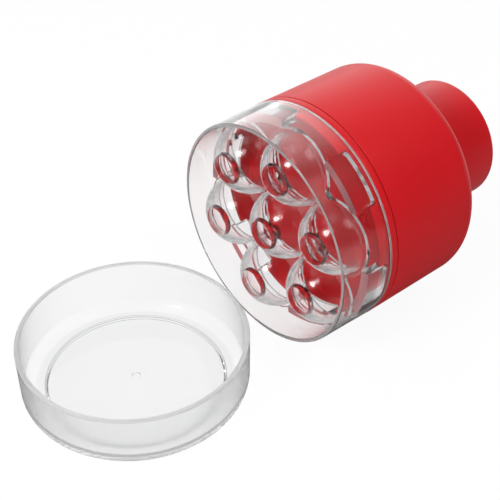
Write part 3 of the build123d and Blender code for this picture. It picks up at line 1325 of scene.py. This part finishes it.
@dataclass
class Studio:
    """White sweep, soft lights and the camera at the photograph's place."""

    camera_place: Triple = (-159.2 * MM, -250.7 * MM, 297.9 * MM)
    camera_aim: Triple = (83.47 * MM, 31.7 * MM, 0.0)
    camera_near: float = 10.0 * MM
    focal_pixels: float = 1103.5
    image_pixels: float = 500.0
    sensor: float = 36.0
    floor_size: float = 6.0
    floor_drop: float = 0.2 * MM
    floor_white: float = 0.93
    paper: Colour = (0.9, 0.9, 0.9)
    light_bounces: int = 32
    sky_fill: float = 0.44
    inner_fill: float = 2.0
    room_dark: float = 0.02
    room_bright: float = 2.15
    glass_dark: float = 0.08
    glass_bright: float = 1.0
    # How dark the floor near the pitter is painted in reflections: painted shade.
    reflected_floor_shade: float = 0.85
    # How much the floor and the room are darkened for rays mirrored once inside clear plastic; on the floor
    # this is painted shade.
    glint_loss: float = 0.45
    glint_depth: float = 1.0
    depth_slack: float = 0.5
    near_floor: Pair = (0.06, 0.20)
    far_side: Triple = (0.60, 0.70, 0.39)
    far_reach: Pair = (0.45, 0.95)
    softboxes: tuple[Softbox, ...] = (
        Softbox("left_lamp", (-0.79, -0.05, 0.61), size=0.25, power=4.2),
        Softbox("right_lamp", (0.21, -0.45, 0.87), size=0.50, power=2.6),
        Softbox("back_lamp", (-0.32, 0.23, 0.92), size=0.50, power=0.9),
    )

    def camera(self) -> None:
        """Set the camera up."""
        data = bpy.data.cameras.new("camera")
        data.sensor_width = self.sensor
        data.lens = self.focal_pixels / self.image_pixels * self.sensor
        data.clip_start = self.camera_near
        camera = placed("camera", data)
        camera.location = self.camera_place
        sight = Vector(self.camera_aim) - Vector(self.camera_place)
        camera.rotation_euler = sight.to_track_quat("-Z", "Y").to_euler()
        bpy.context.scene.camera = camera

    def glint(self, wiring: Wiring) -> Socket:
        """How much is lost to a ray that was mirrored once inside clear plastic.

        Args:
            wiring: The node tree to add to.

        Returns:
            The loss's output.
        """
        path = wiring.path()
        once = wiring.math("COMPARE", path["Glossy Depth"], self.glint_depth, self.depth_slack)
        inside = wiring.math("MULTIPLY", once, path["Is Transmission Ray"])
        return wiring.math("MULTIPLY", inside, self.glint_loss)

    def mirror(self, wiring: Wiring) -> Socket:
        """How much painted shade darkens the floor in front for a ray that a surface has just mirrored.

        Args:
            wiring: The node tree to add to.

        Returns:
            The loss's output.
        """
        path = wiring.path()
        mirrored = wiring.math("MULTIPLY", path["Is Glossy Ray"], path["Is Reflection Ray"])
        place = wiring.add("ShaderNodeNewGeometry", {}).outputs["Position"]
        away = wiring.along(place, Vector((*self.far_side[:2], 0)).normalized())
        near = wiring.span(away, self.reflected_floor_shade, 0.0, *self.near_floor)
        return wiring.math("MULTIPLY", mirrored, near)

    def sweep(self) -> Material:
        """Build the floor's material: white in the picture and through plastic, with painted shade where
        rays see it mirrored.

        Returns:
            The material.
        """
        material = bpy.data.materials.new("white_sweep")
        material.use_nodes = True
        material.node_tree.nodes.clear()
        wiring = Wiring(material.node_tree)
        paper = wiring.add("ShaderNodeBsdfDiffuse", {"Color": (*self.paper, 1)}).outputs["BSDF"]
        glow = wiring.add("ShaderNodeEmission", {}).outputs["Emission"]
        painted_dark = wiring.add("ShaderNodeEmission", {"Strength": 0.0}).outputs["Emission"]
        path = wiring.path()
        seen = wiring.math("MAXIMUM", path["Is Camera Ray"], path["Is Transmission Ray"])
        share = wiring.math("MULTIPLY", seen, self.floor_white)
        # Painted shade: the floor turns black for mirrored rays near the pitter and, in part, after one
        # mirroring inside clear plastic.
        loss = wiring.math("MAXIMUM", self.mirror(wiring), self.glint(wiring))
        surface = wiring.blend(loss, wiring.blend(share, paper, glow), painted_dark)
        wiring.add("ShaderNodeOutputMaterial", {"Surface": surface})
        return material

    def floor(self) -> None:
        """Lay the pale floor, which keeps the pitter's shadow."""
        data = bpy.data.meshes.new("floor")
        half = self.floor_size / 2
        corners = [(-half, -half), (half, -half), (half, half), (-half, half)]
        data.from_pydata([(x, y, -self.floor_drop) for x, y in corners], [], [(0, 1, 2, 3)])
        floor = placed("floor", data)
        floor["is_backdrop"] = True
        data.materials.append(self.sweep())

    def sky(self) -> None:
        """Surround the set with a room that fills the shadows softly and is bright on its far side."""
        world = bpy.data.worlds.new("white_room")
        world.use_nodes = True
        background = world.node_tree.nodes["Background"]
        background.inputs["Color"].default_value = (1, 1, 1, 1)
        wiring = Wiring(world.node_tree)
        path = wiring.path()
        through = path["Is Transmission Ray"]
        place = wiring.add("ShaderNodeTexCoord", {}).outputs["Generated"]
        facing = wiring.along(place, Vector(self.far_side).normalized())
        dark = wiring.span(through, self.room_dark, self.glass_dark)
        bright = wiring.span(through, self.room_bright, self.glass_bright)
        room = wiring.span(facing, dark, bright, *self.far_reach, curve="SMOOTHSTEP")
        quiet = wiring.mix(self.glint(wiring), room, 0.0)
        fill = wiring.span(through, self.sky_fill, self.inner_fill)
        lighting = wiring.mix(path["Diffuse Depth"], quiet, fill)
        shown = wiring.mix(path["Is Camera Ray"], lighting, 1.0)
        wiring.tree.links.new(shown, background.inputs["Strength"])
        bpy.context.scene.world = world

    def build(self) -> None:
        """Set up camera, floor, sky and lights."""
        self.camera()
        self.floor()
        self.sky()
        low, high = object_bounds()
        aim = (Vector(low) + Vector(high)) / 2
        for box in self.softboxes:
            box.build(aim)
        bpy.context.scene.view_settings.view_transform = "Standard"
        for kind in ("max_bounces", "transmission_bounces", "glossy_bounces"):
            setattr(bpy.context.scene.cycles, kind, self.light_bounces)


def main() -> None:
    """Build the pitter's looks piece by piece, then the studio round it."""
    logging.basicConfig(level=logging.INFO, format="%(message)s")
    axis = BarrelAxis.from_frame()
    red = SatinRed()
    Barrel(axis, red).build()
    Plunger(axis, red).build()
    CherryTray(axis, TrayFinishes()).build()
    PitCup(CupFinishes()).build()
    Studio().build()


if __name__ == "__main__":
    main()
